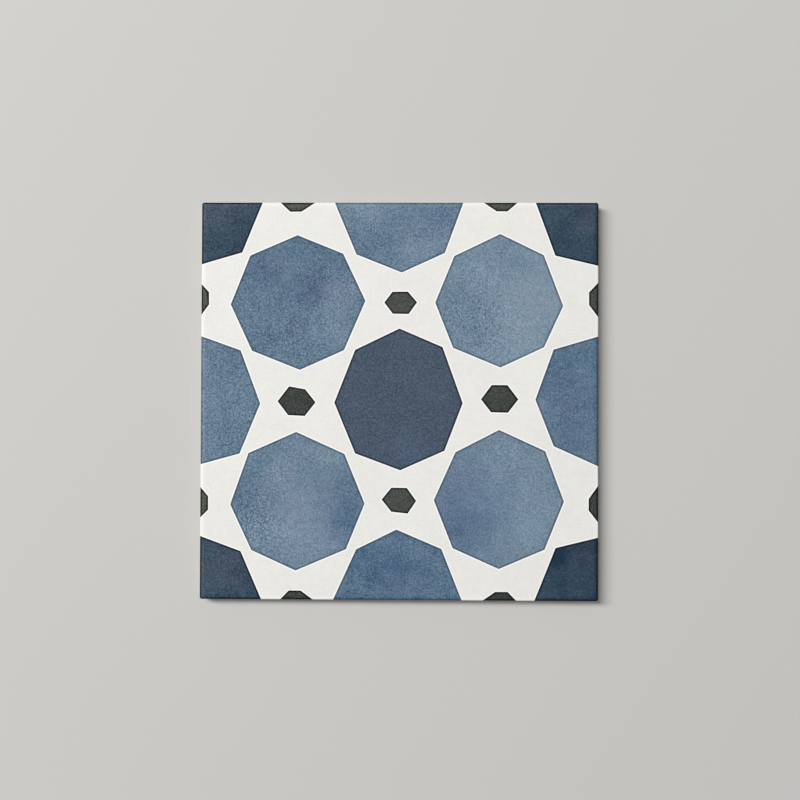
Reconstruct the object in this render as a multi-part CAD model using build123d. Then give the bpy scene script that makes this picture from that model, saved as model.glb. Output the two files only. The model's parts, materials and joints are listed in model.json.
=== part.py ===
"""Patterned porcelain floor and wall tile, 200 x 200 mm.

One dust-pressed slab of fired porcelain. The printed face is flat and rolls over a
rounded arris into upright joint faces, the back edge is bevelled, and the back is
pressed with rows of square keys that the adhesive grips.

Millimetres, +Z towards the printed face, origin in the middle of the bedding plane.
"""

import os
from math import radians, tan

from build123d import *

# Slab
TILE_SIDE = 200.0  # across two opposite joint faces
TILE_THICKNESS = 8.0  # bedding plane to printed face
ARRIS_RADIUS = 0.8  # where the glaze rolls over the edge of the face

# Bevel that the lower punch leaves round the back
BEVEL_HEIGHT = 2.2  # up the joint face
BEVEL_INSET = 0.6  # in from the joint face
BACK_CORNER_RADIUS = 0.5  # corners of the bedding plane

# Keys in the back
KEY_DEPTH = 0.8  # bedding plane to key floor
KEY_DRAFT = 35.0  # degrees, the lean of a key's walls
KEY_FLOOR_RADIUS = 1.6  # corners of a key's floor
KEY_ROWS = 7  # keys in each row, and rows
RIB_WIDTH = 3.0  # between the mouths of two keys
FRAME_WIDTH = 7.5  # plain border between the bevel and the outer keys

# Sizes that follow
CORNER_RADIUS = BACK_CORNER_RADIUS + BEVEL_INSET
BACK_SIDE = TILE_SIDE - 2 * BEVEL_INSET
KEYED_SIDE = BACK_SIDE - 2 * FRAME_WIDTH
KEY_PITCH = (KEYED_SIDE + RIB_WIDTH) / KEY_ROWS
KEY_MOUTH = KEY_PITCH - RIB_WIDTH
KEY_LEAN = KEY_DEPTH * tan(radians(KEY_DRAFT))


def pressed_slab():
    """The slab with its upright corners, rounded arris and bevelled back, before the keys."""
    slab = extrude(RectangleRounded(TILE_SIDE, TILE_SIDE, CORNER_RADIUS), TILE_THICKNESS)
    printed_face = slab.faces().sort_by(Axis.Z)[-1]
    slab = fillet(printed_face.edges(), ARRIS_RADIUS)
    bedding_plane = slab.faces().sort_by(Axis.Z)[0]
    return chamfer(bedding_plane.edges(), BEVEL_INSET, BEVEL_HEIGHT, reference=bedding_plane)


def key_plug():
    """What one key takes out of the back: a square plug that narrows from its mouth to its floor."""
    mouth = RectangleRounded(KEY_MOUTH, KEY_MOUTH, KEY_FLOOR_RADIUS + KEY_LEAN)
    return extrude(mouth, KEY_DEPTH, taper=KEY_DRAFT)


plug = key_plug()
tile = pressed_slab() - [place * plug for place in GridLocations(KEY_PITCH, KEY_PITCH, KEY_ROWS, KEY_ROWS)]

os.makedirs("parts", exist_ok=True)
export_step(tile, "parts/porcelain_tile.step")
print(f"tile {tile.volume / 1000:.1f} cm3, {len(tile.faces())} faces, key mouth {KEY_MOUTH:.2f} mm")
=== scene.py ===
# %% [markdown]
# A patterned porcelain tile, lying face up.
#
# The real tile is dust-pressed from porcelain clay in a steel die, coated with a matte white glaze,
# printed with octagons in blue washes, and fired once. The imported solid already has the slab, the bevel
# and the keyed back at their real size. This lesson dresses it: the same slab is modelled again with the
# soft edges of a glaze, the print is cut into its face, and every finish gets a material of its own.
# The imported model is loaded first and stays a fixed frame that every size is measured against.

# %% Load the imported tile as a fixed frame
import json
from math import cos, hypot, pi, radians, sin, tan

import bpy
from mathutils import Matrix, Vector

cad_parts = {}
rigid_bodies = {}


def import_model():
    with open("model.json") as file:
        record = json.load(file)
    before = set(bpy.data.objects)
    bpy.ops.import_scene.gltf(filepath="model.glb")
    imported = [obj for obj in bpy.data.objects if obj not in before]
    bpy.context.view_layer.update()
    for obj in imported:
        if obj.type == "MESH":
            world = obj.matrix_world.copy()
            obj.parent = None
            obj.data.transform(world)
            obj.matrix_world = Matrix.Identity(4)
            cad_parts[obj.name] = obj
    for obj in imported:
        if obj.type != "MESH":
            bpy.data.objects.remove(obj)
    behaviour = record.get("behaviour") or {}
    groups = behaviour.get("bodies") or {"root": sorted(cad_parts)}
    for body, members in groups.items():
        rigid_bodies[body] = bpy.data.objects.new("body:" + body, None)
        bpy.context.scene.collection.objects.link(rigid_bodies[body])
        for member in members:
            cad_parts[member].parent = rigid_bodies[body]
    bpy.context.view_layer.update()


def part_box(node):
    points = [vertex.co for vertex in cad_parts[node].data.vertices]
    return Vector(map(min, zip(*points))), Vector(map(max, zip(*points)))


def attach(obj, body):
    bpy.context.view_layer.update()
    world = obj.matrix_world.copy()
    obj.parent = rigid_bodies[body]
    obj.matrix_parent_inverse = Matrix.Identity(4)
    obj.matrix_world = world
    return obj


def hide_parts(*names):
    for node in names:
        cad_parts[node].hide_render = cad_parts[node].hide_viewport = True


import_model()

MM = 0.001
low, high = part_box("porcelain_tile")
SIDE = (high.x - low.x) / MM
THICKNESS = (high.z - low.z) / MM
print(f"packed tile: {SIDE:.1f} mm square, {THICKNESS:.1f} mm thick")

# %% [markdown]
# The section of the tile's edge.
#
# Cut through, the edge of a pressed tile runs up a bevel that the lower punch leaves, up an upright joint
# face, over a small rounded arris, and onto the face. A glaze never stops in a sharp corner: it thins and
# rolls off over the last two millimetres, and that roll-off catches the light along one side of the tile
# and goes dark along the other. A bevel modifier would give an even round, so the section is worked out
# here as a list of heights and insets, and the slab is then drawn up ring by ring to follow it.

# %% Work out the section from the bedding plane to the flat of the face
BEVEL_HEIGHT = 2.2  # up the joint face
BEVEL_INSET = 0.6  # in from the joint face
GLAZE_STOP = 5.6  # the glaze never runs lower than this down the joint face
ARRIS_RADIUS = 0.75
ARRIS_STEPS = 6
ROLL_WIDTH = 1.85  # the strip where the glaze thins towards the edge, outside the rims of the print
ROLL_STEPS = 4
ROLL_SLOPE = radians(10)  # where the roll-off meets the arris
FLAT_MARGIN = 3.6  # to a last ring, inside the print along the edge, that keeps the rest of the face flat

roll_drop = ROLL_WIDTH * tan(ROLL_SLOPE) / 2
arris_foot = THICKNESS - roll_drop - ARRIS_RADIUS * cos(ROLL_SLOPE)
section = [(0.0, BEVEL_INSET), (BEVEL_HEIGHT, 0.0), (GLAZE_STOP, 0.0)]
for step in range(ARRIS_STEPS + 1):
    turn = (pi / 2 - ROLL_SLOPE) * step / ARRIS_STEPS
    section.append((arris_foot + ARRIS_RADIUS * sin(turn), ARRIS_RADIUS * (1 - cos(turn))))
arris_inset = section[-1][1]
for step in range(1, ROLL_STEPS + 1):
    left = 1 - step / ROLL_STEPS
    section.append((THICKNESS - roll_drop * left**2, arris_inset + ROLL_WIDTH * (1 - left)))
flat_inset = section[-1][1] + FLAT_MARGIN
section.append((THICKNESS, flat_inset))
print(f"section: {len(section)} rings, arris from {arris_foot:.2f} mm, face flat from {flat_inset:.2f} mm in")

# %% [markdown]
# The slab.
#
# The slab starts as a plane on the bedding plane, a little smaller than the tile. Its corners are rounded,
# and then it is extruded upwards once for every ring of the section and scaled to that ring's size, as a
# modeller would with the E and S keys. Every ring is a scaled copy of the first, which makes the sides easy
# to unroll into a flat map later. The finishes are made as empty materials first, because the order of
# a mesh's slots is hard to change once faces use them.

# %% Name the finishes
FINISHES = [
    "white_glaze",
    "blue_wash",
    "slate_wash",
    "navy_wash",
    "charcoal_print",
    "bare_body",
    "keyed_back",
]
OUTLINE_WALL = "outline_wall"  # marks the cutters of the print, and is gone from the finished tile
for name in FINISHES + [OUTLINE_WALL]:
    bpy.data.materials.new(name)
slot_of = {name: number for number, name in enumerate(FINISHES + [OUTLINE_WALL])}
print(f"finishes: {len(FINISHES)}")

# %% Draw up the slab ring by ring
CORNER_RADIUS = 1.1
CORNER_STEPS = 6

bpy.ops.mesh.primitive_plane_add(size=(SIDE - 2 * BEVEL_INSET) * MM, location=(0, 0, 0))
tile = bpy.context.object
tile.name = "printed_tile"
tile.data.name = "printed_tile"
for name in FINISHES + [OUTLINE_WALL]:
    tile.data.materials.append(bpy.data.materials[name])
bpy.ops.object.mode_set(mode="EDIT")
bpy.ops.mesh.bevel(offset=CORNER_RADIUS * MM, segments=CORNER_STEPS, affect="VERTICES")
for (height, inset), (next_height, next_inset) in zip(section, section[1:]):
    bpy.ops.mesh.extrude_region_move(TRANSFORM_OT_translate={"value": (0, 0, (next_height - height) * MM)})
    grow = (SIDE - 2 * next_inset) / (SIDE - 2 * inset)
    bpy.ops.transform.resize(value=(grow, grow, 1), center_override=(0, 0, 0))
bpy.ops.object.mode_set(mode="OBJECT")
print(f"slab: {len(tile.data.polygons)} faces, {tile.dimensions.x / MM:.1f} mm square")

# %% [markdown]
# The keyed back.
#
# The lower punch presses rows of shallow square keys into the back, so that the adhesive has something to
# grip. A key has leaning walls, a soft lip and a filleted floor, because clay dust sticks in a sharp mould.
# One key is modelled, from a plane that is inset again and again with a little depth each time, and two
# array modifiers copy it into rows. The open rims of the keys and of the slab are then filled in one step,
# which leaves the ribs and the border as one flat bedding plane.

# %% Model one key
KEY_ROWS = 7
RIB_WIDTH = 3.0
FRAME_WIDTH = 7.5
KEY_DEPTH = 0.8
KEY_DRAFT = radians(35)
KEY_FLOOR_RADIUS = 1.6
KEY_CORNER_STEPS = 5
LIP_RADIUS = 0.3
FLOOR_FILLET = 0.4
FILLET_STEPS = 3
KEY_MARGIN = 0.3  # flat strips beside the lip and the floor that keep the shading of the flats clean

back_side = SIDE - 2 * BEVEL_INSET
key_pitch = (back_side - 2 * FRAME_WIDTH + RIB_WIDTH) / KEY_ROWS
key_mouth = key_pitch - RIB_WIDTH
wall_turn = pi / 2 - KEY_DRAFT
key_lean = KEY_DEPTH * tan(KEY_DRAFT)
mouth_at = KEY_MARGIN + LIP_RADIUS * tan(wall_turn / 2)
floor_at = mouth_at + key_lean + FLOOR_FILLET * tan(wall_turn / 2)

key_section = [(0.0, 0.0)]
for step in range(FILLET_STEPS + 1):
    turn = wall_turn * step / FILLET_STEPS
    key_section.append((KEY_MARGIN + LIP_RADIUS * sin(turn), LIP_RADIUS * (1 - cos(turn))))
for step in range(FILLET_STEPS + 1):
    turn = wall_turn * (1 - step / FILLET_STEPS)
    key_section.append((floor_at - FLOOR_FILLET * sin(turn), KEY_DEPTH - FLOOR_FILLET * (1 - cos(turn))))
key_section.append((floor_at + KEY_MARGIN, KEY_DEPTH))

first_key = -(KEY_ROWS - 1) / 2 * key_pitch * MM
bpy.ops.mesh.primitive_plane_add(size=(key_mouth + 2 * mouth_at) * MM, location=(first_key, first_key, 0))
keys = bpy.context.object
keys.data.materials.append(bpy.data.materials["keyed_back"])
bpy.ops.object.mode_set(mode="EDIT")
corner = (KEY_FLOOR_RADIUS + key_lean + mouth_at) * MM
bpy.ops.mesh.bevel(offset=corner, segments=KEY_CORNER_STEPS, affect="VERTICES")
for (inset, height), (next_inset, next_height) in zip(key_section, key_section[1:]):
    bpy.ops.mesh.inset(thickness=(next_inset - inset) * MM, depth=(next_height - height) * MM)
bpy.ops.object.mode_set(mode="OBJECT")
print(f"key: {len(keys.data.polygons)} faces, mouth {key_mouth:.2f} mm, pitch {key_pitch:.2f} mm")

# %% Copy the key into rows
for along in ((1, 0, 0), (0, 1, 0)):
    bpy.ops.object.modifier_add(type="ARRAY")
    row = keys.modifiers[-1]
    row.count = KEY_ROWS
    row.use_relative_offset = False
    row.use_constant_offset = True
    row.constant_offset_displace = Vector(along) * key_pitch * MM
    bpy.ops.object.modifier_apply(modifier=row.name)
print(f"keys: {KEY_ROWS} rows of {KEY_ROWS}, {len(keys.data.polygons)} faces")


# %% Join the keys to the slab and fill the bedding plane
def pick(piece, wanted, kind="FACE"):
    """Select the faces or edges that a test picks, stay in edit mode and say how many there are."""
    bpy.ops.object.mode_set(mode="EDIT")
    bpy.ops.mesh.select_mode(type=kind)
    bpy.ops.mesh.select_all(action="DESELECT")
    bpy.ops.object.mode_set(mode="OBJECT")
    parts = piece.data.polygons if kind == "FACE" else piece.data.edges
    for part in parts:
        part.select = wanted(part)
    picked = sum(part.select for part in parts)
    bpy.ops.object.mode_set(mode="EDIT")
    return picked


def join_into(piece, others):
    """Join other meshes into a piece."""
    bpy.ops.object.select_all(action="DESELECT")
    for other in others:
        other.select_set(True)
    piece.select_set(True)
    bpy.context.view_layer.objects.active = piece
    bpy.ops.object.join()


HAIR = 1e-4  # millimetres, under which two heights count as one

join_into(tile, [keys])
lids = pick(tile, lambda face: face.normal.z < -0.99 and abs(face.center.z) < HAIR * MM)
bpy.ops.mesh.delete(type="ONLY_FACE")
bpy.ops.mesh.select_mode(type="EDGE")
bpy.ops.mesh.select_non_manifold()
bpy.ops.mesh.fill(use_beauty=True)
split_at = key_pitch / 2  # along a rib, where the map of the back is cut in two
bpy.ops.mesh.bisect(plane_co=(split_at * MM, 0, 0), plane_no=(1, 0, 0))
bpy.ops.mesh.select_all(action="SELECT")
bpy.ops.mesh.normals_make_consistent(inside=False)
bpy.ops.object.mode_set(mode="OBJECT")
print(f"back: {lids} lid opened, {len(tile.data.polygons)} faces in the closed tile")

# %% [markdown]
# The print.
#
# The pattern is an old one, of octagons with small hexagons between their points. It was drawn by hand, so
# no two outlines are quite alike, and each field below has its own corners, in millimetres from the middle
# of the face. Fields that the tile's edge cuts through run on past it. The number before the corners is how
# deep that field's wash is, from 0 for the thinnest to 1 for the deepest.

# %% Lay out the octagons in the blue washes
FIELDS = {}
FIELDS["blue_wash"] = [
    (0.715, [(-51.5, 83.4), (-28.4, 74.1), (-17.1, 50.3), (-27.8, 25.4),
            (-50.0, 15.4), (-74.2, 25.0), (-85.1, 48.4), (-75.3, 73.1)]),
    (0.46, [(50.7, 84.1), (72.5, 73.5), (82.3, 47.9), (72.7, 27.1),
            (50.9, 16.9), (27.1, 26.7), (18.0, 49.5), (27.6, 73.0)]),
    (0.60, [(-51.7, -15.8), (-27.3, -26.8), (-17.1, -51.7), (-26.4, -74.6),
            (-51.7, -85.4), (-74.0, -75.3), (-84.8, -52.4), (-75.7, -26.5)]),
    (0.55, [(50.3, -14.4), (73.4, -25.0), (82.8, -50.3), (73.1, -74.3),
            (50.2, -84.1), (27.1, -73.8), (17.6, -49.8), (28.4, -25.7)]),
    (0.635, [(-34.5, 104.0), (-21.7, 73.7), (1.2, 64.6), (22.8, 74.5), (33.6, 104.0)]),
    (0.74, [(-34.9, -104.5), (-21.3, -74.6), (-1.1, -64.6), (21.5, -74.2), (33.6, -104.5)]),
    (0.665, [(-112.1, 36.6), (-79.9, 25.2), (-69.9, -1.6), (-80.2, -26.8), (-112.1, -35.7)]),
    (0.73, [(111.8, 36.2), (77.5, 26.0), (68.4, 0.8), (77.6, -22.5), (111.8, -37.9)]),
]
FIELDS["slate_wash"] = [
    (0.70, [(0.1, 36.4), (21.8, 27.1), (32.0, -1.1), (22.9, -25.0),
            (0.7, -34.9), (-22.0, -26.5), (-32.6, -1.0), (-22.2, 25.6)]),
]
FIELDS["navy_wash"] = [
    (0.80, [(-67.0, 105.1), (-79.4, 74.6), (-112.1, 65.0), (-112.1, 105.1)]),
    (0.84, [(66.6, 104.9), (78.3, 73.2), (111.8, 65.3), (111.8, 104.9)]),
    (0.77, [(-112.2, -63.8), (-79.4, -75.8), (-66.7, -105.0), (-112.2, -105.0)]),
    (0.85, [(111.7, -65.2), (78.6, -73.4), (66.0, -104.9), (111.7, -104.9)]),
]

# %% Lay out the small hexagons, whole ones first and then those on the tile's edges
FIELDS["charcoal_print"] = [
    (0.84, [(-61.2, -0.4), (-55.4, 7.1), (-47.3, 5.7), (-42.0, -0.9), (-47.4, -7.8), (-55.8, -7.4)]),
    (0.80, [(41.1, 0.9), (46.5, 8.1), (54.4, 8.1), (59.9, 0.9), (54.7, -5.8), (46.2, -5.6)]),
    (0.63, [(-7.6, 49.5), (-3.5, 54.9), (4.3, 55.0), (8.9, 49.6), (4.7, 43.7), (-3.3, 43.8)]),
    (0.60, [(-8.6, -49.6), (-3.7, -43.6), (4.1, -43.7), (8.8, -50.2), (4.5, -56.6), (-3.7, -55.7)]),
    (0.50, [(-64.7, 104.1), (-55.2, 95.2), (-49.5, 95.3), (-36.3, 104.0)]),
    (0.54, [(36.3, 103.9), (48.8, 95.5), (54.3, 95.5), (64.0, 103.9)]),
    (0.50, [(-103.9, 62.9), (-96.1, 54.6), (-96.0, 48.3), (-103.8, 37.7)]),
    (0.55, [(-104.4, -38.4), (-95.9, -48.3), (-95.9, -55.1), (-104.2, -63.4)]),
    (0.60, [(104.2, 64.4), (95.2, 54.8), (95.2, 48.4), (104.2, 36.5)]),
    (0.78, [(104.0, -36.4), (95.1, -48.8), (95.1, -54.6), (104.0, -65.8)]),
    (0.70, [(-63.2, -103.8), (-55.1, -95.4), (-49.1, -95.4), (-37.8, -103.6)]),
    (0.88, [(36.2, -104.0), (48.5, -95.5), (54.7, -95.5), (62.8, -103.7)]),
]
print("fields:", {finish: len(fields) for finish, fields in FIELDS.items()})

# %% [markdown]
# Cutting the print into the face.
#
# A mask in the shader could draw the fields, but edges that are cut into the mesh stay crisp at any
# distance, and each field can then have a finish of its own. Each outline becomes a low upright wall, made
# from a circle with as many corners as the field, and the face is intersected with all the walls. Pigment
# gathers where a wash stops, and the white glaze stands thicker against it, so every outline has another
# one just inside it and a third just outside. The two strips later carry a dark rim and a white lip.


# %% Stand a wall on every outline
RIM_WIDTH = 1.3
LIP_WIDTH = 1.0
WALL_FOOT = 4.0  # millimetres, below the lowest glaze
WALL_HEIGHT = 8.0


def moved_in(corners, distance):
    """The corners of an outline whose sides have all moved inwards by a distance."""
    pairs = list(zip(corners, corners[1:] + corners[:1]))
    turning = sum(a[0] * b[1] - b[0] * a[1] for a, b in pairs)
    lines = []
    for start, end in pairs:
        along = (Vector(end) - Vector(start)).normalized()
        inward = Vector((-along.y, along.x)) if turning > 0 else Vector((along.y, -along.x))
        lines.append((Vector(start) + inward * distance, along))
    moved = []
    for (before, along_before), (after, along_after) in zip(lines[-1:] + lines[:-1], lines):
        run = (after - before).cross(along_after) / along_before.cross(along_after)
        moved.append(tuple(before + along_before * run))
    return moved


def stand_wall(corners):
    """An upright wall on an outline, to cut the face with."""
    bpy.ops.mesh.primitive_circle_add(vertices=len(corners), radius=MM, location=(0, 0, WALL_FOOT * MM))
    wall = bpy.context.object
    wall.data.materials.append(bpy.data.materials[OUTLINE_WALL])
    for vertex, (x, y) in zip(wall.data.vertices, corners):
        vertex.co = (x * MM, y * MM, 0)
    bpy.ops.object.mode_set(mode="EDIT")
    bpy.ops.mesh.select_all(action="SELECT")
    bpy.ops.mesh.extrude_edges_move(TRANSFORM_OT_translate={"value": (0, 0, WALL_HEIGHT * MM)})
    bpy.ops.object.mode_set(mode="OBJECT")
    return wall


print(f"walls: {WALL_HEIGHT:.0f} mm high, for rims of {RIM_WIDTH} mm and lips of {LIP_WIDTH} mm")

# %% Cut the face with the walls and take them away
wall_slot = slot_of[OUTLINE_WALL]
outlines = [corners for fields in FIELDS.values() for depth, corners in fields]


def cut_face(walls):
    """Cut the printed face along upright walls, which are taken away again."""
    join_into(tile, walls)
    pick(tile, lambda face: face.material_index != wall_slot and face.center.z < GLAZE_STOP * MM)
    bpy.ops.mesh.hide(unselected=False)
    pick(tile, lambda face: face.material_index != wall_slot and face.center.z > GLAZE_STOP * MM)
    bpy.ops.mesh.intersect(mode="SELECT_UNSELECT", separate_mode="CUT", solver="FAST")
    bpy.ops.mesh.reveal(select=False)
    pick(tile, lambda face: face.material_index == wall_slot)
    bpy.ops.mesh.delete(type="FACE")
    bpy.ops.mesh.select_all(action="SELECT")
    bpy.ops.mesh.remove_doubles(threshold=HAIR * MM)
    bpy.ops.mesh.delete_loose()
    pick(tile, lambda face: face.center.z > GLAZE_STOP * MM)
    bpy.ops.mesh.quads_convert_to_tris(quad_method="BEAUTY", ngon_method="BEAUTY")
    bpy.ops.object.mode_set(mode="OBJECT")
    print(f"cut along {len(walls)} walls: {len(tile.data.polygons)} faces")


cut_face([stand_wall(corners) for corners in outlines])
cut_face([stand_wall(moved_in(corners, RIM_WIDTH)) for corners in outlines])
cut_face([stand_wall(moved_in(corners, -LIP_WIDTH)) for corners in outlines])
tile.data.materials.pop(index=wall_slot)


# %% [markdown]
# Giving every face its finish.
#
# After the cut, every triangle of the face lies wholly inside one field or on the white ground, so its
# middle says which. Below the glaze the joint faces are bare body, and the pressed back has a finish of its
# own. Two attributes carry what the materials can't work out by themselves: the depth of each field's wash,
# stored on faces, and the rim, stored on points, which is 1 on an outline and 0 everywhere else.


# %% Sort the faces and store the wash depth
BACK_TOP = 0.84  # millimetres: the keys end below it and the bevel's middle is above it
GROUND_DEPTH = 0.5


def inside(corners, x, y):
    """Whether a point lies in a field, which is on one side of all its edges."""
    sides = [
        (b[0] - a[0]) * (y - a[1]) - (b[1] - a[1]) * (x - a[0])
        for a, b in zip(corners, corners[1:] + corners[:1])
    ]
    return all(side >= 0 for side in sides) or all(side <= 0 for side in sides)


def finish_at(face):
    """The finish of a face and the depth of its wash."""
    x, y, z = (value / MM for value in face.center)
    if z < BACK_TOP:
        return "keyed_back", GROUND_DEPTH
    if z < GLAZE_STOP:
        return "bare_body", GROUND_DEPTH
    for finish, fields in FIELDS.items():
        for depth, corners in fields:
            if inside(corners, x, y):
                return finish, depth
    return "white_glaze", GROUND_DEPTH


wash_depth = tile.data.attributes.new("wash_depth", "FLOAT", "FACE")
areas = dict.fromkeys(FINISHES, 0.0)
for face in tile.data.polygons:
    finish, depth = finish_at(face)
    face.material_index = slot_of[finish]
    wash_depth.data[face.index].value = depth
    areas[finish] += face.area / MM**2 / 100
print("cm2 of each finish:", {finish: round(area, 1) for finish, area in areas.items()})

# %% Store the rim
rim = tile.data.attributes.new("rim", "FLOAT", "POINT")


def on_outline(corners, x, y):
    """Whether a point lies on one of an outline's edges."""
    point = Vector((x, y))
    for start, end in zip(corners, corners[1:] + corners[:1]):
        along = Vector(end) - Vector(start)
        share = (point - Vector(start)).dot(along) / along.length_squared
        nearest = Vector(start) + along * min(max(share, 0), 1)
        if (point - nearest).length < RIM_WIDTH / 10:
            return True
    return False


for vertex in tile.data.vertices:
    x, y, z = (value / MM for value in vertex.co)
    printed = z > GLAZE_STOP - HAIR and any(on_outline(corners, x, y) for corners in outlines)
    rim.data[vertex.index].value = 1.0 if printed else 0.0
print("points on outlines:", sum(entry.value > 0.5 for entry in rim.data))

# %% [markdown]
# Smooth shading.
#
# The arris, the roll-off and the lips of the keys are small rounds and shade smooth, but the bevel meets the
# joint face at a plain edge. That edge is marked sharp, and the angle of 30 degrees keeps the other real
# corners. Auto smooth as a modifier would need an asset file, so the shading is set by operator instead.


# %% Mark the bevel's edge and smooth the rest
def on_bevel(edge):
    """Whether an edge lies where the bevel meets the joint face."""
    heights = [tile.data.vertices[number].co.z / MM for number in edge.vertices]
    return all(abs(height - BEVEL_HEIGHT) < HAIR for height in heights)


bevel_edges = pick(tile, on_bevel, "EDGE")
bpy.ops.mesh.mark_sharp()
bpy.ops.object.mode_set(mode="OBJECT")
bpy.ops.object.select_all(action="DESELECT")
tile.select_set(True)
bpy.context.view_layer.objects.active = tile
bpy.ops.object.shade_smooth_by_angle(angle=radians(30), keep_sharp_edges=True)
print(f"sharp bevel edges: {bevel_edges}")

# %% [markdown]
# A flat map of the whole tile.
#
# An exported model carries its colours as one picture, so the tile needs a map that is flat, fills most of
# the picture and overlaps nowhere. An automatic unwrap would give the plain back as much room as the print.
# Here the face, the arris and the sides are unrolled as one mitred sheet, by scaling each ring until it is
# as far from the middle as the surface runs, and the back lies beside it in two smaller parts.

# %% Unroll the face and the sides, and lay the back beside them
SHEET_SHARE = 0.72  # of the map's width
MAP_MARGIN = 0.007
BACK_SCALE = 0.0023  # of the map's width for a millimetre of the back

runs = [(THICKNESS, flat_inset, 0.0)]
for height, inset in section[-2::-1]:
    above, above_inset, run = runs[-1]
    runs.append((height, inset, run + hypot(above - height, above_inset - inset)))
flat_half = SIDE / 2 - flat_inset
sheet_half = flat_half + runs[-1][2]
sheet_scale = SHEET_SHARE / (2 * sheet_half)
beside_sheet = SHEET_SHARE + 2 * MAP_MARGIN


def sheet_growth(z):
    """How much a point at this height moves out from the middle when the sides are unrolled."""
    for (top, top_inset, top_run), (foot, foot_inset, foot_run) in zip(runs[1:], runs[2:]):
        if z >= foot - HAIR:
            share = (top - z) / (top - foot)
            inset = top_inset + (foot_inset - top_inset) * share
            run = top_run + (foot_run - top_run) * share
            return (flat_half + run) / (SIDE / 2 - inset)
    return sheet_half / (SIDE / 2 - BEVEL_INSET)


def map_place(point, in_back, in_right_part):
    """Where a point goes on the map."""
    x, y, z = (value / MM for value in point)
    if not in_back:
        growth = 1.0 if z > THICKNESS - HAIR else sheet_growth(z)
        return [MAP_MARGIN + (value * growth + sheet_half) * sheet_scale for value in (x, y)]
    if in_right_part:
        return beside_sheet + (back_side / 2 - x) * BACK_SCALE, MAP_MARGIN + (y + back_side / 2) * BACK_SCALE
    return MAP_MARGIN + (y + back_side / 2) * BACK_SCALE, beside_sheet + (x + back_side / 2) * BACK_SCALE


while tile.data.uv_layers:
    tile.data.uv_layers.remove(tile.data.uv_layers[0])
flat_map = tile.data.uv_layers.new(name="OFBake")
for face in tile.data.polygons:
    in_back = face.material_index == slot_of["keyed_back"]
    in_right_part = face.center.x > split_at * MM
    for corner in face.loop_indices:
        point = tile.data.vertices[tile.data.loops[corner].vertex_index].co
        flat_map.data[corner].uv = map_place(point, in_back, in_right_part)
reach = [max(entry.uv[axis] for entry in flat_map.data) for axis in (0, 1)]
print(f"map: sheet {2 * sheet_half:.1f} mm wide, reaches {reach[0]:.3f} and {reach[1]:.3f}")

# %% [markdown]
# Building blocks for the materials.
#
# The finishes share their effects, so each effect is a node group that is built once. A few short helpers
# keep the groups readable: one adds a node, one feeds a socket with a link or a plain value, and the rest
# wrap the nodes that are used most. Every pattern reads Object coordinates, turned into millimetres, so a
# scale of 0.5 means a feature about two millimetres across.


# %% Helpers for node trees
def add(tree, kind, **settings):
    """Add a shader node and set its plain settings."""
    made = tree.nodes.new("ShaderNode" + kind)
    for name, value in settings.items():
        setattr(made, name, value)
    return made


def feed(tree, socket, value):
    """Feed a socket from another socket, or give it a plain value."""
    if isinstance(value, bpy.types.NodeSocket):
        tree.links.new(value, socket)
    else:
        socket.default_value = value


def maths(tree, operation, *values):
    """A Math node on up to three values."""
    made = add(tree, "Math", operation=operation)
    for socket, value in zip(made.inputs, values):
        feed(tree, socket, value)
    return made.outputs[0]


def moved(tree, place, shift, operation="ADD"):
    """A place with a vector added to it, or worked into it in another way."""
    made = add(tree, "VectorMath", operation=operation)
    feed(tree, made.inputs[0], place)
    feed(tree, made.inputs[1], shift)
    return made.outputs[0]


def stretched(tree, place, factors):
    """A place scaled by its own number along each axis."""
    return moved(tree, place, factors, "MULTIPLY")


def axes(tree, place):
    """The parts of a place: across, along and up."""
    parts = add(tree, "SeparateXYZ")
    feed(tree, parts.inputs[0], place)
    return parts.outputs


def ramp(tree, value, start, end, low_value=0.0, high_value=1.0):
    """A smooth step from one value to another, clamped at both ends."""
    made = add(tree, "MapRange", interpolation_type="SMOOTHSTEP")
    for socket, number in zip(made.inputs, (value, start, end, low_value, high_value)):
        feed(tree, socket, number)
    return made.outputs[0]


def noise(tree, place, scale, detail=2.0, roughness=0.5):
    """Soft noise about zero, from roughly -0.5 to 0.5."""
    made = add(tree, "TexNoise")
    feed(tree, made.inputs["Vector"], place)
    made.inputs["Scale"].default_value = scale
    made.inputs["Detail"].default_value = detail
    made.inputs["Roughness"].default_value = roughness
    return maths(tree, "SUBTRACT", made.outputs[0], 0.5)


def weighted(tree, *terms):
    """The sum of values, each times its weight."""
    total = 0.0
    for value, weight in terms:
        total = maths(tree, "MULTIPLY_ADD", value, weight, total)
    return total


def blended(tree, factor, first, second, blend="MIX"):
    """One colour laid over another."""
    made = add(tree, "Mix", data_type="RGBA", blend_type=blend)
    for socket, value in zip((made.inputs[0], made.inputs[6], made.inputs[7]), (factor, first, second)):
        feed(tree, socket, value)
    return made.outputs[2]


def between(tree, factor, first, second):
    """A value between two others."""
    made = add(tree, "Mix", data_type="FLOAT")
    for socket, value in zip((made.inputs[0], made.inputs[2], made.inputs[3]), (factor, first, second)):
        feed(tree, socket, value)
    return made.outputs[0]


def new_group(name, inputs, outputs):
    """A node group with named sockets, and what its inside reads from and writes to."""
    tree = bpy.data.node_groups.new(name, "ShaderNodeTree")
    for side, sockets in (("INPUT", inputs), ("OUTPUT", outputs)):
        for socket_name, kind in sockets.items():
            tree.interface.new_socket(socket_name, in_out=side, socket_type="NodeSocket" + kind)
    given = tree.nodes.new("NodeGroupInput").outputs
    wanted = tree.nodes.new("NodeGroupOutput").inputs
    return tree, given, wanted


def use_group(tree, group, values):
    """Place a group in a material with its own values."""
    made = add(tree, "Group", node_tree=group)
    for socket_name, value in values.items():
        feed(tree, made.inputs[socket_name], value)
    return made.outputs


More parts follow.
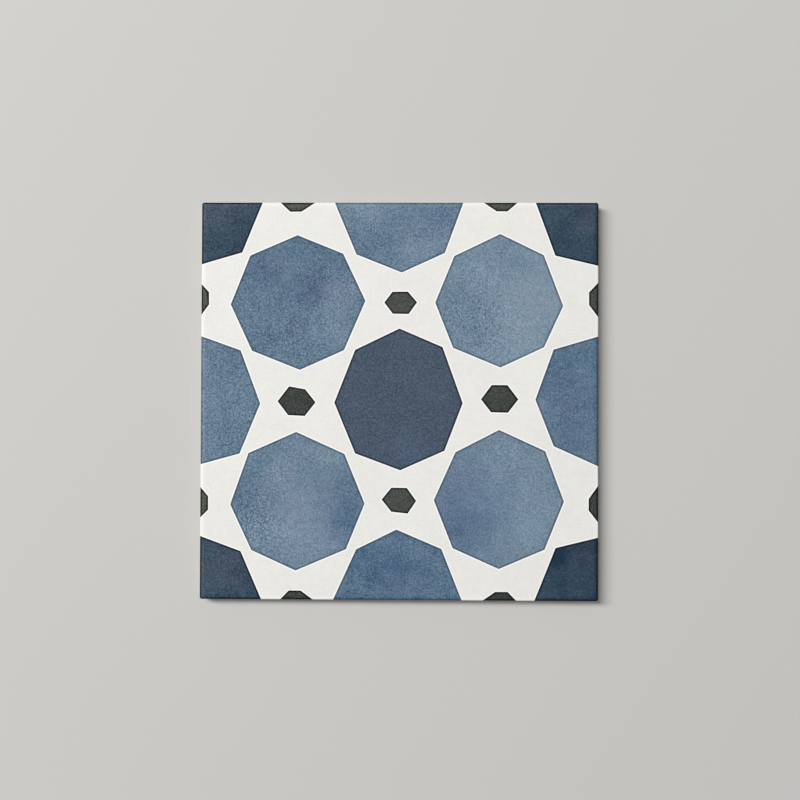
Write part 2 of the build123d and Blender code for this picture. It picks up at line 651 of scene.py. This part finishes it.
def colour(red, green, blue):
    """A colour written as 0 to 255, as the linear value that a shader needs."""
    shares = [value / 255 for value in (red, green, blue)]
    return [s / 12.92 if s <= 0.04045 else ((s + 0.055) / 1.055) ** 2.4 for s in shares] + [1.0]


def spots(tree, place, shift, scale, start, end, most=1.0, detail=1.0):
    """Scattered spots, where noise that is read at a shifted place rises past a limit."""
    return ramp(tree, noise(tree, moved(tree, place, shift), scale, detail), start, end, 0.0, most)


def shaded(tree, base, shade):
    """A colour made darker or lighter by a value about 1."""
    grey = add(tree, "CombineColor")
    for socket in grey.inputs:
        feed(tree, socket, shade)
    return blended(tree, 1.0, base, grey.outputs[0], "MULTIPLY")


def pushed(tree, place, scale, reach):
    """A place pushed along by soft noise, by up to a reach on each axis."""
    push = add(tree, "TexNoise")
    feed(tree, push.inputs["Vector"], place)
    push.inputs["Scale"].default_value = scale
    push.inputs["Detail"].default_value = 3.0
    return moved(tree, place, stretched(tree, push.outputs["Color"], [reach] * 3))


print("helpers ready")

# %% [markdown]
# The granulated wash.
#
# The print copies a watercolour: pigment floats out in clouds, pools where the brush paused, and settles as
# grains in the tooth of the paper. One number says how much pigment lies at each place. It starts from the
# depth of the field, and noise moves it up and down: clouds of three sizes, grain of two sizes, and a few
# dark and pale specks. The colour then runs from a thin wash to a deep one, and drifts towards a warmer or
# a bluer tint, because two pigments never spread alike. Where the wash stops, its rim colour takes over.

# %% Start the wash with its clouds and its grain, which is coarser towards the left and the top
tree, given, wanted = new_group(
    "Granulated Wash",
    {"Place": "Vector", "Depth": "Float", "Clouds": "Float", "Grain": "Float",
     "Thin Color": "Color", "Deep Color": "Color", "Drift": "Float", "Drift Tint": "Color",
     "Bluer": "Float", "Rim": "Float", "Rim Color": "Color"},
    {"Color": "Color"},
)
granulated_wash = tree
place = given["Place"]
drawn_out = pushed(tree, place, 0.07, 14.0)
clouds = weighted(
    tree,
    (noise(tree, drawn_out, 0.045), 1.0),
    (noise(tree, drawn_out, 0.16), 0.90),
    (noise(tree, place, 0.50), 0.65),
)
fibre = stretched(tree, place, (1.0, 0.8, 1.0))
grain = weighted(
    tree,
    (noise(tree, fibre, 1.35, 0.0), 0.9),
    (noise(tree, fibre, 2.9, 0.0), 0.6),
    (spots(tree, fibre, (37, 11, 5), 1.3, 0.24, 0.36, detail=0.0), 0.55),
    (spots(tree, fibre, (11, 67, 41), 1.3, 0.24, 0.36, detail=0.0), -0.30),
)
across, along = axes(tree, place)[:2]
coarse = weighted(tree, (across, -0.0018), (along, 0.0010), (0.92, 1.0))
grain = maths(tree, "MULTIPLY", maths(tree, "MULTIPLY", grain, coarse), given["Grain"])
print(f"clouds and grain: {len(tree.nodes)} nodes")

# %% Turn the pigment into colour
BLUER_TINT = (0.95, 1.0, 1.14, 1.0)

pigment = weighted(tree, (clouds, given["Clouds"]), (grain, 0.7), (given["Depth"], 1.0))
washed = blended(tree, pigment, given["Thin Color"], given["Deep Color"])
washed = shaded(tree, washed, weighted(tree, (grain, -0.35), (1.0, 1.0)))
drift = spots(tree, drawn_out, (91, 47, 13), 0.07, -0.1, 0.2, 0.35, detail=2.0)
drift = maths(tree, "ADD", drift, given["Drift"])
washed = blended(tree, drift, washed, given["Drift Tint"], "MULTIPLY")
washed = blended(tree, given["Bluer"], washed, BLUER_TINT, "MULTIPLY")
gathered = ramp(tree, noise(tree, place, 0.35), -0.25, 0.25, 0.75, 1.0)
gathered = maths(tree, "MULTIPLY", gathered, given["Rim"])
feed(tree, wanted["Color"], blended(tree, gathered, washed, given["Rim Color"]))
print(f"granulated wash: {len(tree.nodes)} nodes")

# %% [markdown]
# Pools in the wash.
#
# Some of the clouds are large and plain to see, such as the dark bloom in the first octagon, and noise would
# never put them there. Each is a soft round pool with a middle, a reach and a strength, where a minus sign
# lifts the wash instead, and some pools turn it to violet as well. Two shorter lists say where the grain is
# coarse or smooth and where the wash is bluer. All of them read a place that noise has pushed about, so that
# no pool shows its round shape.

# %% Build one pool
POOL_END = 1.8  # in reaches from its middle, where a pool has faded out

tree, given, wanted = new_group(
    "Wash Pool",
    {"Place": "Vector", "Middle": "Vector", "Reach": "Float"},
    {"Pool": "Float"},
)
wash_pool = tree
apart = add(tree, "VectorMath", operation="DISTANCE")
feed(tree, apart.inputs[0], given["Place"])
feed(tree, apart.inputs[1], given["Middle"])
reaches = maths(tree, "DIVIDE", apart.outputs["Value"], given["Reach"])
feed(tree, wanted["Pool"], ramp(tree, reaches, POOL_END, 0.0))
print(f"wash pool: {len(tree.nodes)} nodes")

# %% Place the pools: across, up, reach, strength, and how far some turn to violet
POOLS = {
    "blue_wash": [
        # octagon, upper left
        (-44, 57, 8, 0.18, 0.8), (-36, 72, 10, 0.06), (-30, 55, 8, -0.17, 0.6), (-70, 69, 9, 0.14, 0.5),
        (-52, 33, 9, 0.06, 0.2), (-53, 39, 6, 0.04, 0.5), (-50, 74, 7, 0.05), (-31, 38, 13, -0.17),
        (-80, 59, 6, 0.08),
        # octagon, upper right
        (31, 42, 14, 0.18), (46, 61, 9, -0.06, 0.3), (42, 26, 8, 0.03), (52, 77, 10, 0.08),
        (70, 50, 14, -0.10, 0.3), (64, 33, 11, -0.05),
        # octagon, lower left
        (-27, -60, 12, 0.24), (-24, -45, 7, 0.15), (-79, -47, 12, 0.20), (-60, -51, 9, 0.06, 0.3),
        (-66, -27, 8, 0.07), (-60, -36, 7, -0.08, 0.4), (-50, -60, 18, -0.10, 0.2), (-57, -71, 9, -0.09),
        (-34, -68, 7, -0.09), (-34, -30, 9, -0.11),
        # octagon, lower right
        (29, -66, 13, 0.25, 0.1), (22, -47, 8, 0.12, 0.3), (47, -55, 10, 0.09), (65, -45, 18, -0.10),
        (77, -44, 9, 0.09), (66, -71, 10, -0.11), (52, -25, 9, -0.09), (34, -40, 10, 0.10, 0.6),
        # half octagon, top
        (-16, 94, 9, -0.19), (-12, 83, 11, 0.15), (8, 72, 7, -0.10), (20, 95, 10, 0.06, 0.2),
        (21, 81, 6, -0.10),
        # half octagon, bottom
        (-2, -87, 14, 0.13, 0.2), (-21, -83, 8, 0.11), (11, -73, 7, -0.12), (-4, -75, 7, -0.07),
        (2, -95, 8, -0.12, 0.2),
        # half octagon, left
        (-77, -10, 5, -0.05), (-86, 20, 9, 0.05), (-86, -16, 7, 0.07), (-97, 0, 7, -0.13),
        (-98, -29, 6, -0.08, 0.6),
        # half octagon, right
        (83, 18, 10, 0.14), (97, 25, 7, 0.09), (72, -5, 6, -0.14), (93, -28, 5, -0.07), (86, -18, 7, 0.08),
        (88, 0, 9, 0.07, 0.5),
    ],
    "slate_wash": [(6, -24, 8, -0.11), (6, 18, 10, -0.04, 0.2)],
    "navy_wash": [
        (-96, 96, 9, -0.09, 0.9), (-97, 76, 8, -0.06), (-82, 98, 8, -0.05, 0.8), (-89, 82, 11, 0.0, -0.4),
        (77, 97, 8, -0.14, 0.2), (85, 79, 7, -0.06), (96, 92, 9, -0.06, 0.7),
        (-97, -88, 10, -0.08, 0.2), (-96, -76, 7, 0.03), (-82, -86, 11, 0.0, 0.8), (-86, -97, 7, -0.07),
        (92, -90, 10, -0.06), (80, -77, 5, 0.20, -0.3), (93, -76, 7, 0.04, 0.9),
    ],
    "charcoal_print": [(47, 6, 5, -0.12)],
}
print("pools:", {finish: len(pools) for finish, pools in POOLS.items()})

# %% Place the coarse or smooth parts and the bluer parts: across, up, reach, strength
GRIT = {
    "blue_wash": [
        (-60, 66, 17, -0.32), (-58, 27, 13, 0.20), (38, 37, 17, 0.38), (72, 58, 16, -0.30),
        (-74, -63, 13, 0.55), (-38, -55, 19, -0.33), (38, -56, 17, -0.35), (54, -25, 11, 0.25),
        (-79, -8, 8, 0.25), (-21, -92, 8, 0.25), (-94, 5, 14, -0.18), (4, 94, 16, -0.20),
        (6, -94, 11, -0.15), (28, -34, 9, -0.20),
    ],
}
BLUER = {
    "blue_wash": [
        (0, -88, 22, 0.45), (36, -54, 18, 0.50), (92, 0, 18, 0.30),
        (-28, -62, 9, 0.40), (20, 92, 9, 0.30), (-98, -24, 7, 0.35),
    ],
    "slate_wash": [(5, -25, 11, 0.75)],
    "navy_wash": [(80, -78, 6, 0.8)],
}


def pushed_about(tree, place):
    """A place pushed up to five millimetres either way."""
    return moved(tree, pushed(tree, place, 0.11, 10.0), (-5, -5, -5))


def pooled(tree, place, pools, kinds):
    """What pools add up to at a place, for as many kinds of strength as their rows may give."""
    totals = [0.0] * kinds
    for across, up, reach, *strengths in pools:
        values = {"Place": place, "Middle": (across, up, THICKNESS), "Reach": reach}
        pool = use_group(tree, wash_pool, values)["Pool"]
        for kind, strength in enumerate(strengths):
            if strength:
                totals[kind] = maths(tree, "MULTIPLY_ADD", pool, strength, totals[kind])
    return totals


print("bluer parts:", {finish: len(pools) for finish, pools in BLUER.items()})

# %% [markdown]
# The pressed body.
#
# Where no glaze lies, the tile shows fired porcelain dust: a warm pale grey with faint clouds, fine dark
# specks of iron and tiny pores. The die also leaves upright scuffs on the joint faces as the tile is pushed
# out. The group gives a colour and a height in millimetres, which a Bump node with a distance of one
# millimetre turns into relief at its real size.

# %% Build the pressed body
tree, given, wanted = new_group(
    "Pressed Body",
    {"Place": "Vector", "Body Color": "Color", "Speck Color": "Color"},
    {"Color": "Color", "Height": "Float"},
)
pressed_body = tree
place = given["Place"]
dust = noise(tree, place, 3.0, 3.0, 0.7)
mottle = weighted(tree, (noise(tree, place, 0.12), 1.0), (noise(tree, place, 0.7), 0.6))
scuffs = noise(tree, stretched(tree, place, (1.6, 1.6, 0.10)), 1.0, 3.0, 0.6)
pores_and_shade = spots(tree, place, (19, 7, 3), 1.9, 0.20, 0.28)
iron = spots(tree, place, (53, 29, 17), 1.3, 0.23, 0.28, 0.7)
# the pores darken the clay's colour as painted shade in the pits, and dip in the height as real pits
shade = weighted(tree, (mottle, 0.35), (dust, 0.30), (scuffs, 0.30), (pores_and_shade, -0.30), (1.0, 1.0))
clay = shaded(tree, given["Body Color"], shade)
feed(tree, wanted["Color"], blended(tree, iron, clay, given["Speck Color"]))
feed(tree, wanted["Height"], weighted(tree, (dust, 0.05), (scuffs, 0.03), (pores_and_shade, -0.06)))
print(f"pressed body: {len(tree.nodes)} nodes")

# %% [markdown]
# The lower edge of the glaze.
#
# Glaze is sprayed from above, so it runs a millimetre or so down the joint faces and stops in a ragged line,
# with stray droplets below it. The mask is the height on the tile, disturbed by noise: 1 is glaze, and 0 is
# bare body. All the printed finishes share it, because print and glaze end together.

# %% Build the glaze edge
COAT_STOP = (6.15, 6.35)  # millimetres up the tile, where the coat starts and is whole
SPRAY_STOP = (5.5, 6.3)  # the same for the droplets

tree, given, wanted = new_group("Glaze Edge", {"Place": "Vector"}, {"Glaze": "Float"})
glaze_edge = tree
place = given["Place"]
ragged = weighted(
    tree,
    (noise(tree, stretched(tree, place, (1, 1, 0.3)), 0.12), 1.2),
    (noise(tree, stretched(tree, place, (1, 1, 0.4)), 0.8), 0.9),
    (noise(tree, place, 3.0), 0.5),
    (axes(tree, place)["Z"], 1.0),
)
droplets = spots(tree, place, (7, 3, 1), 1.7, 0.15, 0.19)
sprayed = maths(tree, "MULTIPLY", droplets, ramp(tree, ragged, *SPRAY_STOP, 0.0, 0.8))
feed(tree, wanted["Glaze"], maths(tree, "MAXIMUM", ramp(tree, ragged, *COAT_STOP), sprayed))
print(f"glaze edge: {len(tree.nodes)} nodes")

# %% [markdown]
# The tooth of the glaze.
#
# A matte glaze isn't smooth: crystals in it leave a fine tooth that scatters the light, over a slow swell
# where the coat lay unevenly before it melted. The group gives the height in millimetres, and a roughness
# that wanders a little, so that a low light never slides over the face evenly.

# %% Build the glaze tooth
GLAZE_ROUGHNESS = 0.58

tree, given, wanted = new_group("Glaze Tooth", {"Place": "Vector"}, {"Height": "Float", "Roughness": "Float"})
glaze_tooth = tree
place = given["Place"]
swell = noise(tree, place, 0.10, 1.0)
crystals = noise(tree, place, 1.4, 2.0, 0.6)
feed(tree, wanted["Height"], weighted(tree, (swell, 0.05), (crystals, 0.012)))
satin = weighted(tree, (noise(tree, place, 0.06), 0.15), (crystals, 0.25), (GLAZE_ROUGHNESS, 1.0))
feed(tree, wanted["Roughness"], satin)
print(f"glaze tooth: {len(tree.nodes)} nodes")

# %% [markdown]
# The glazed finishes.
#
# Every glazed finish is put together in the same way: a colour for the print, bare body where the ragged
# edge of the glaze ends, and the tooth of the glaze as relief. Only the colour differs, so one function
# starts a material and another finishes it. What is the same all over a finish, such as the weak mirror
# shine of a matte glaze, is set on the shader itself.

# %% Functions that start and finish a glazed material
BODY_COLOUR = colour(206, 199, 187)
SPECK_COLOUR = colour(120, 104, 88)
BODY_ROUGHNESS = 0.86
GLAZE_SHINE = 0.10


def start_finish(name):
    """The node tree and shader of a finish, and the place on the tile in millimetres."""
    material = bpy.data.materials[name]
    material.use_nodes = True
    tree = material.node_tree
    shader = tree.nodes["Principled BSDF"]
    place = stretched(tree, add(tree, "TexCoord").outputs["Object"], [1 / MM] * 3)
    return tree, shader, place


def feed_relief(tree, shader, height):
    """Relief at its real size, from a height in millimetres."""
    bump = add(tree, "Bump")
    bump.inputs["Distance"].default_value = MM
    feed(tree, bump.inputs["Height"], height)
    feed(tree, shader.inputs["Normal"], bump.outputs["Normal"])


def bare_clay(tree, place, clay_colour):
    """The pressed body in a colour of its own, with the same specks."""
    values = {"Place": place, "Body Color": clay_colour, "Speck Color": SPECK_COLOUR}
    return use_group(tree, pressed_body, values)


def finish_glaze(tree, shader, place, print_colour):
    """Lay a print colour in the glaze, down to the glaze's ragged edge."""
    body = bare_clay(tree, place, BODY_COLOUR)
    glaze = use_group(tree, glaze_edge, {"Place": place})["Glaze"]
    tooth = use_group(tree, glaze_tooth, {"Place": place})
    feed(tree, shader.inputs["Base Color"], blended(tree, glaze, body["Color"], print_colour))
    feed(tree, shader.inputs["Roughness"], between(tree, glaze, BODY_ROUGHNESS, tooth["Roughness"]))
    feed_relief(tree, shader, between(tree, glaze, body["Height"], tooth["Height"]))
    shader.inputs["Specular IOR Level"].default_value = GLAZE_SHINE


print("glaze functions ready")

# %% [markdown]
# Near the edges of the tile.
#
# The print changes as the glaze rolls off. Its wash is painted lighter along the left and the top, a painted
# highlight where the roll-off faces the light, and darker along the right and below, painted shade where the
# roll-off turns away; it also gathers in a dark line over the arris, as it does at its own outlines. These
# functions read how near a place is to an edge, and the attributes that were stored on the mesh.


# %% Functions that read edges and attributes
def out_and_up(tree, place):
    """How far a place is towards the left or top edge, towards the right or lower edge, and upwards."""
    across, along, height = axes(tree, place)
    left_or_top = maths(tree, "MAXIMUM", maths(tree, "MULTIPLY", across, -1.0), along)
    right_or_low = maths(tree, "MAXIMUM", across, maths(tree, "MULTIPLY", along, -1.0))
    return left_or_top, right_or_low, height


def near_edge(tree, outwards, start, end, most):
    """A value that goes from 0 to its most between two distances from the edge, in millimetres."""
    return ramp(tree, outwards, SIDE / 2 - start, SIDE / 2 - end, 0.0, most)


def attribute(tree, name):
    """An attribute of the mesh as a value."""
    return add(tree, "Attribute", attribute_name=name).outputs["Fac"]


print("edge functions ready")

# %% List the washes: thin, deep and rim colour, drift tint, clouds, grain and strength of the rim
WASHES = {
    "blue_wash": ((147, 169, 183), (56, 85, 112), (34, 47, 60), (1.14, 0.965, 1.0), 0.30, 1.05, 0.60),
    "slate_wash": ((112, 124, 140), (35, 54, 73), (20, 25, 30), (1.08, 1.0, 1.0), 0.10, 0.95, 0.90),
    "navy_wash": ((92, 117, 133), (26, 46, 64), (0, 8, 18), (1.38, 1.03, 1.06), 0.32, 0.88, 1.0),
    "charcoal_print": ((95, 97, 92), (43, 49, 47), (0, 4, 4), (1.01, 1.0, 0.98), 0.20, 1.5, 1.0),
}
RIM_SPREAD = (0.10, 0.50)  # of the rim attribute, where the rim colour starts and is whole
PAINTED_HIGHLIGHT_EDGE = (3.0, 1.3, -0.12)  # painted highlight, left and top: from and to, in millimetres, and the change of depth
PAINTED_SHADE_EDGE = (3.5, 0.8, 0.10)  # painted shade, right and below
EDGE_INK = (1.3, 0.65)  # millimetres from the edge, where the line over the arris starts and is whole
EDGE_INK_FOOT = (7.1, 7.4)  # millimetres up the tile, where that line starts and is whole
print("washes:", list(WASHES))

# %% Make the washes
for name, (thin, deep, rim_colour, tint, clouds, grain, rim_strength) in WASHES.items():
    tree, shader, place = start_finish(name)
    about = pushed_about(tree, place)
    pools, violet = pooled(tree, about, POOLS[name], 2)
    (grit,) = pooled(tree, about, GRIT.get(name, []), 1)
    (bluer,) = pooled(tree, about, BLUER.get(name, []), 1)
    left_or_top, right_or_low, height = out_and_up(tree, place)
    depth = weighted(
        tree,
        (attribute(tree, "wash_depth"), 1.0),
        (pools, 1.0),
        # the wash is made thinner along the left and top as a painted highlight, and deeper along the right
        # and below as painted shade
        (near_edge(tree, left_or_top, *PAINTED_HIGHLIGHT_EDGE), 1.0),
        (near_edge(tree, right_or_low, *PAINTED_SHADE_EDGE), 1.0),
    )
    outwards = maths(tree, "MAXIMUM", left_or_top, right_or_low)
    edge_ink = near_edge(tree, outwards, *EDGE_INK, rim_strength)
    edge_ink = maths(tree, "MULTIPLY", edge_ink, ramp(tree, height, *EDGE_INK_FOOT))
    rim_ink = ramp(tree, attribute(tree, "rim"), *RIM_SPREAD, 0.0, rim_strength)
    values = {
        "Place": place,
        "Depth": depth,
        "Clouds": clouds,
        "Grain": maths(tree, "MULTIPLY_ADD", grit, grain, grain),
        "Thin Color": colour(*thin),
        "Deep Color": colour(*deep),
        "Drift": violet,
        "Drift Tint": (*tint, 1.0),
        "Bluer": bluer,
        "Rim": maths(tree, "MAXIMUM", rim_ink, edge_ink),
        "Rim Color": colour(*rim_colour),
    }
    wash = use_group(tree, granulated_wash, values)
    finish_glaze(tree, shader, place, wash["Color"])
    print(f"{name}: {len(tree.nodes)} nodes")

# %% [markdown]
# The white ground.
#
# The ground is bare glaze, a warm white. Up close it isn't even: the coat lies a little thicker in places,
# and a few pin-head specks of the body show through. It is whitest in a narrow lip against each outline of
# the print, and a band along the tile's edges is painted whiter too, a painted highlight that lifts the shade
# of the roll-off, most along the right and below. The changes are small, because the eye reads the white as
# one clean surface, but without them it looks like paint.

# %% The white glaze
LIP_AND_HIGHLIGHT_COLOUR = colour(252, 252, 250)
LIP_SPREAD = (0.25, 0.6)  # of the rim attribute, where the lip starts and is whole
PAINTED_HIGHLIGHT_RIGHT_AND_BELOW = (2.6, 0.8, 0.6)  # painted highlight along the edge: from and to, in millimetres from the edge, and the share of the lip colour
# painted highlight, weaker along the left and top
PAINTED_HIGHLIGHT_LEFT_AND_TOP = (3.0, 0.8, 0.3)

tree, shader, place = start_finish("white_glaze")
thick = weighted(
    tree,
    (noise(tree, place, 0.05), 0.40),
    (noise(tree, place, 0.3), 0.50),
    (noise(tree, place, 1.1), 1.20),
)
ground = blended(tree, ramp(tree, thick, -0.6, 0.6), colour(226, 225, 220), colour(239, 238, 234))
ground = blended(tree, spots(tree, place, (5, 71, 23), 0.8, 0.30, 0.33, 0.25), ground, SPECK_COLOUR)
left_or_top, right_or_low = out_and_up(tree, place)[:2]
lip_and_highlight = ramp(tree, attribute(tree, "rim"), *LIP_SPREAD)
# a band along the tile's edges is painted whiter: a painted highlight, stronger along the right and below
lip_and_highlight = maths(tree, "MAXIMUM", lip_and_highlight, near_edge(tree, right_or_low, *PAINTED_HIGHLIGHT_RIGHT_AND_BELOW))
lip_and_highlight = maths(tree, "MAXIMUM", lip_and_highlight, near_edge(tree, left_or_top, *PAINTED_HIGHLIGHT_LEFT_AND_TOP))
finish_glaze(tree, shader, place, blended(tree, lip_and_highlight, ground, LIP_AND_HIGHLIGHT_COLOUR))
print(f"white_glaze: {len(tree.nodes)} nodes")

# %% [markdown]
# The bare body and the back.
#
# The joint faces are plain pressed body. The back is the same clay, but it travelled through the kiln on
# rollers: white kiln wash is left on the ribs and the border, which touch them, in streaks along the way of
# travel, while the floors of the keys stay clean and a little darker.

# %% The bare joint faces
BODY_SHINE = 0.3

tree, shader, place = start_finish("bare_body")
body = bare_clay(tree, place, BODY_COLOUR)
feed(tree, shader.inputs["Base Color"], body["Color"])
feed(tree, shader.inputs["Roughness"], weighted(tree, (noise(tree, place, 0.5), 0.2), (BODY_ROUGHNESS, 1.0)))
feed_relief(tree, shader, body["Height"])
shader.inputs["Specular IOR Level"].default_value = BODY_SHINE
print(f"bare_body: {len(tree.nodes)} nodes")

# %% The keyed back
KEY_COLOUR = colour(196, 188, 175)
KILN_WASH = colour(226, 223, 216)
KILN_WASH_TOP = 0.25  # millimetres up the walls of the keys
KILN_WASH_ROUGHNESS = 0.95

tree, shader, place = start_finish("keyed_back")
body = bare_clay(tree, place, KEY_COLOUR)
touching = ramp(tree, axes(tree, place)["Z"], KILN_WASH_TOP, 0.0)
streaks = weighted(
    tree,
    (noise(tree, stretched(tree, place, (1, 0.06, 1)), 0.35, 3.0, 0.6), 1.6),
    (noise(tree, place, 0.9, 3.0, 0.7), 1.2),
)
powder = maths(tree, "MULTIPLY", touching, ramp(tree, streaks, -0.35, 0.35, 0.05, 0.85))
feed(tree, shader.inputs["Base Color"], blended(tree, powder, body["Color"], KILN_WASH))
feed(tree, shader.inputs["Roughness"], between(tree, powder, BODY_ROUGHNESS, KILN_WASH_ROUGHNESS))
feed_relief(tree, shader, weighted(tree, (body["Height"], 1.0), (powder, 0.02)))
shader.inputs["Specular IOR Level"].default_value = BODY_SHINE
print(f"keyed_back: {len(tree.nodes)} nodes")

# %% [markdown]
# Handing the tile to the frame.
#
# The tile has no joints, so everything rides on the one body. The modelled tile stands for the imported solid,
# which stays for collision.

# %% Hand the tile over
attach(tile, "root")
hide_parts("porcelain_tile")
print(f"printed_tile: {len(tile.data.polygons)} faces, {len(tile.data.materials)} finishes")

# %% [markdown]
# A floor, soft light and a camera.
#
# The tile lies on a plain pale floor, which fades into the white background a little way off, and is seen
# from straight above. A wide softbox hangs over its upper left, so the roll-off shines on the left and a soft
# shadow falls to the right and below. The softbox is given as its share of the light on the tile: with the
# sky's share it adds up to about one, and a colour then renders about as it is written.

# %% Lay the floor
FLOOR_SIZE = 6.0
FLOOR_GAP = 1e-5
FLOOR_FADE = (0.2, 1.4)  # metres from the middle of the tile, where the floor starts to fade and is gone

bpy.ops.mesh.primitive_plane_add(size=FLOOR_SIZE, location=(0, 0, -FLOOR_GAP))
floor = bpy.context.object
floor.name = "floor"
floor_paint = bpy.data.materials.new("floor_paint")
floor_paint.use_nodes = True
tree = floor_paint.node_tree
shader = tree.nodes["Principled BSDF"]
shader.inputs["Base Color"].default_value = colour(201, 200, 197)
shader.inputs["Roughness"].default_value = 0.9
shader.inputs["Specular IOR Level"].default_value = 0.2
from_tile = add(tree, "VectorMath", operation="LENGTH")
feed(tree, from_tile.inputs[0], add(tree, "TexCoord").outputs["Object"])
faded = add(tree, "MixShader")
feed(tree, faded.inputs[0], ramp(tree, from_tile.outputs["Value"], *FLOOR_FADE))
feed(tree, faded.inputs[1], shader.outputs[0])
feed(tree, faded.inputs[2], add(tree, "BsdfTransparent").outputs[0])
feed(tree, tree.nodes["Material Output"].inputs["Surface"], faded.outputs[0])
floor.data.materials.append(floor_paint)
print(f"floor: {FLOOR_SIZE:.0f} m across")


# %% Hang the softbox
def soft_light(name, place, width, depth, share):
    """A soft light that faces the tile and gives it this share of its light."""
    place = Vector(place)
    away = place.normalized()
    across = Vector((0, 1, 0)).cross(away).normalized()
    lamp = bpy.data.lights.new(name, "AREA")
    lamp.shape = "RECTANGLE"
    lamp.size = width
    lamp.size_y = depth
    lamp.energy = share * pi**2 * place.length**3 / place.z
    light = bpy.data.objects.new(name, lamp)
    light.location = place
    light.rotation_euler = Matrix((across, away.cross(across), away)).transposed().to_euler()
    bpy.context.collection.objects.link(light)
    print(f"{name}: {lamp.energy:.1f} W")


soft_light("softbox", place=(-1.60, 1.00, 2.70), width=2.30, depth=0.80, share=0.775)

# %% Fill in with a plain sky that looks white to the camera
SKY_SHARE = 0.285

world = bpy.data.worlds.new("studio")
bpy.context.scene.world = world
world.use_nodes = True
tree = world.node_tree
sky = tree.nodes["Background"]
sky.inputs["Color"].default_value = (1, 1, 1, 1)
ray = add(tree, "LightPath")
seen = maths(tree, "MAXIMUM", ray.outputs["Is Camera Ray"], ray.outputs["Is Glossy Ray"])
seen = maths(tree, "MAXIMUM", seen, ray.outputs["Is Transmission Ray"])
feed(tree, sky.inputs["Strength"], between(tree, seen, SKY_SHARE, 1.0))
print(f"sky: {SKY_SHARE:.2f} of the light")

# %% Set the camera above the tile, tilted by less than a degree as the photograph is
CAMERA_PLACE = (0.00930, -0.00804, 0.56633)
CAMERA_TILT = (0.871, 0.901, 0.207)  # degrees

camera_data = bpy.data.cameras.new("camera")
camera_data.lens = 50.0
camera = bpy.data.objects.new("camera", camera_data)
camera.location = CAMERA_PLACE
camera.rotation_euler = [radians(angle) for angle in CAMERA_TILT]
bpy.context.collection.objects.link(camera)
bpy.context.scene.camera = camera
bpy.context.scene.view_settings.view_transform = "Standard"
print(f"camera: {camera.location.z / MM:.0f} mm above the bedding plane")
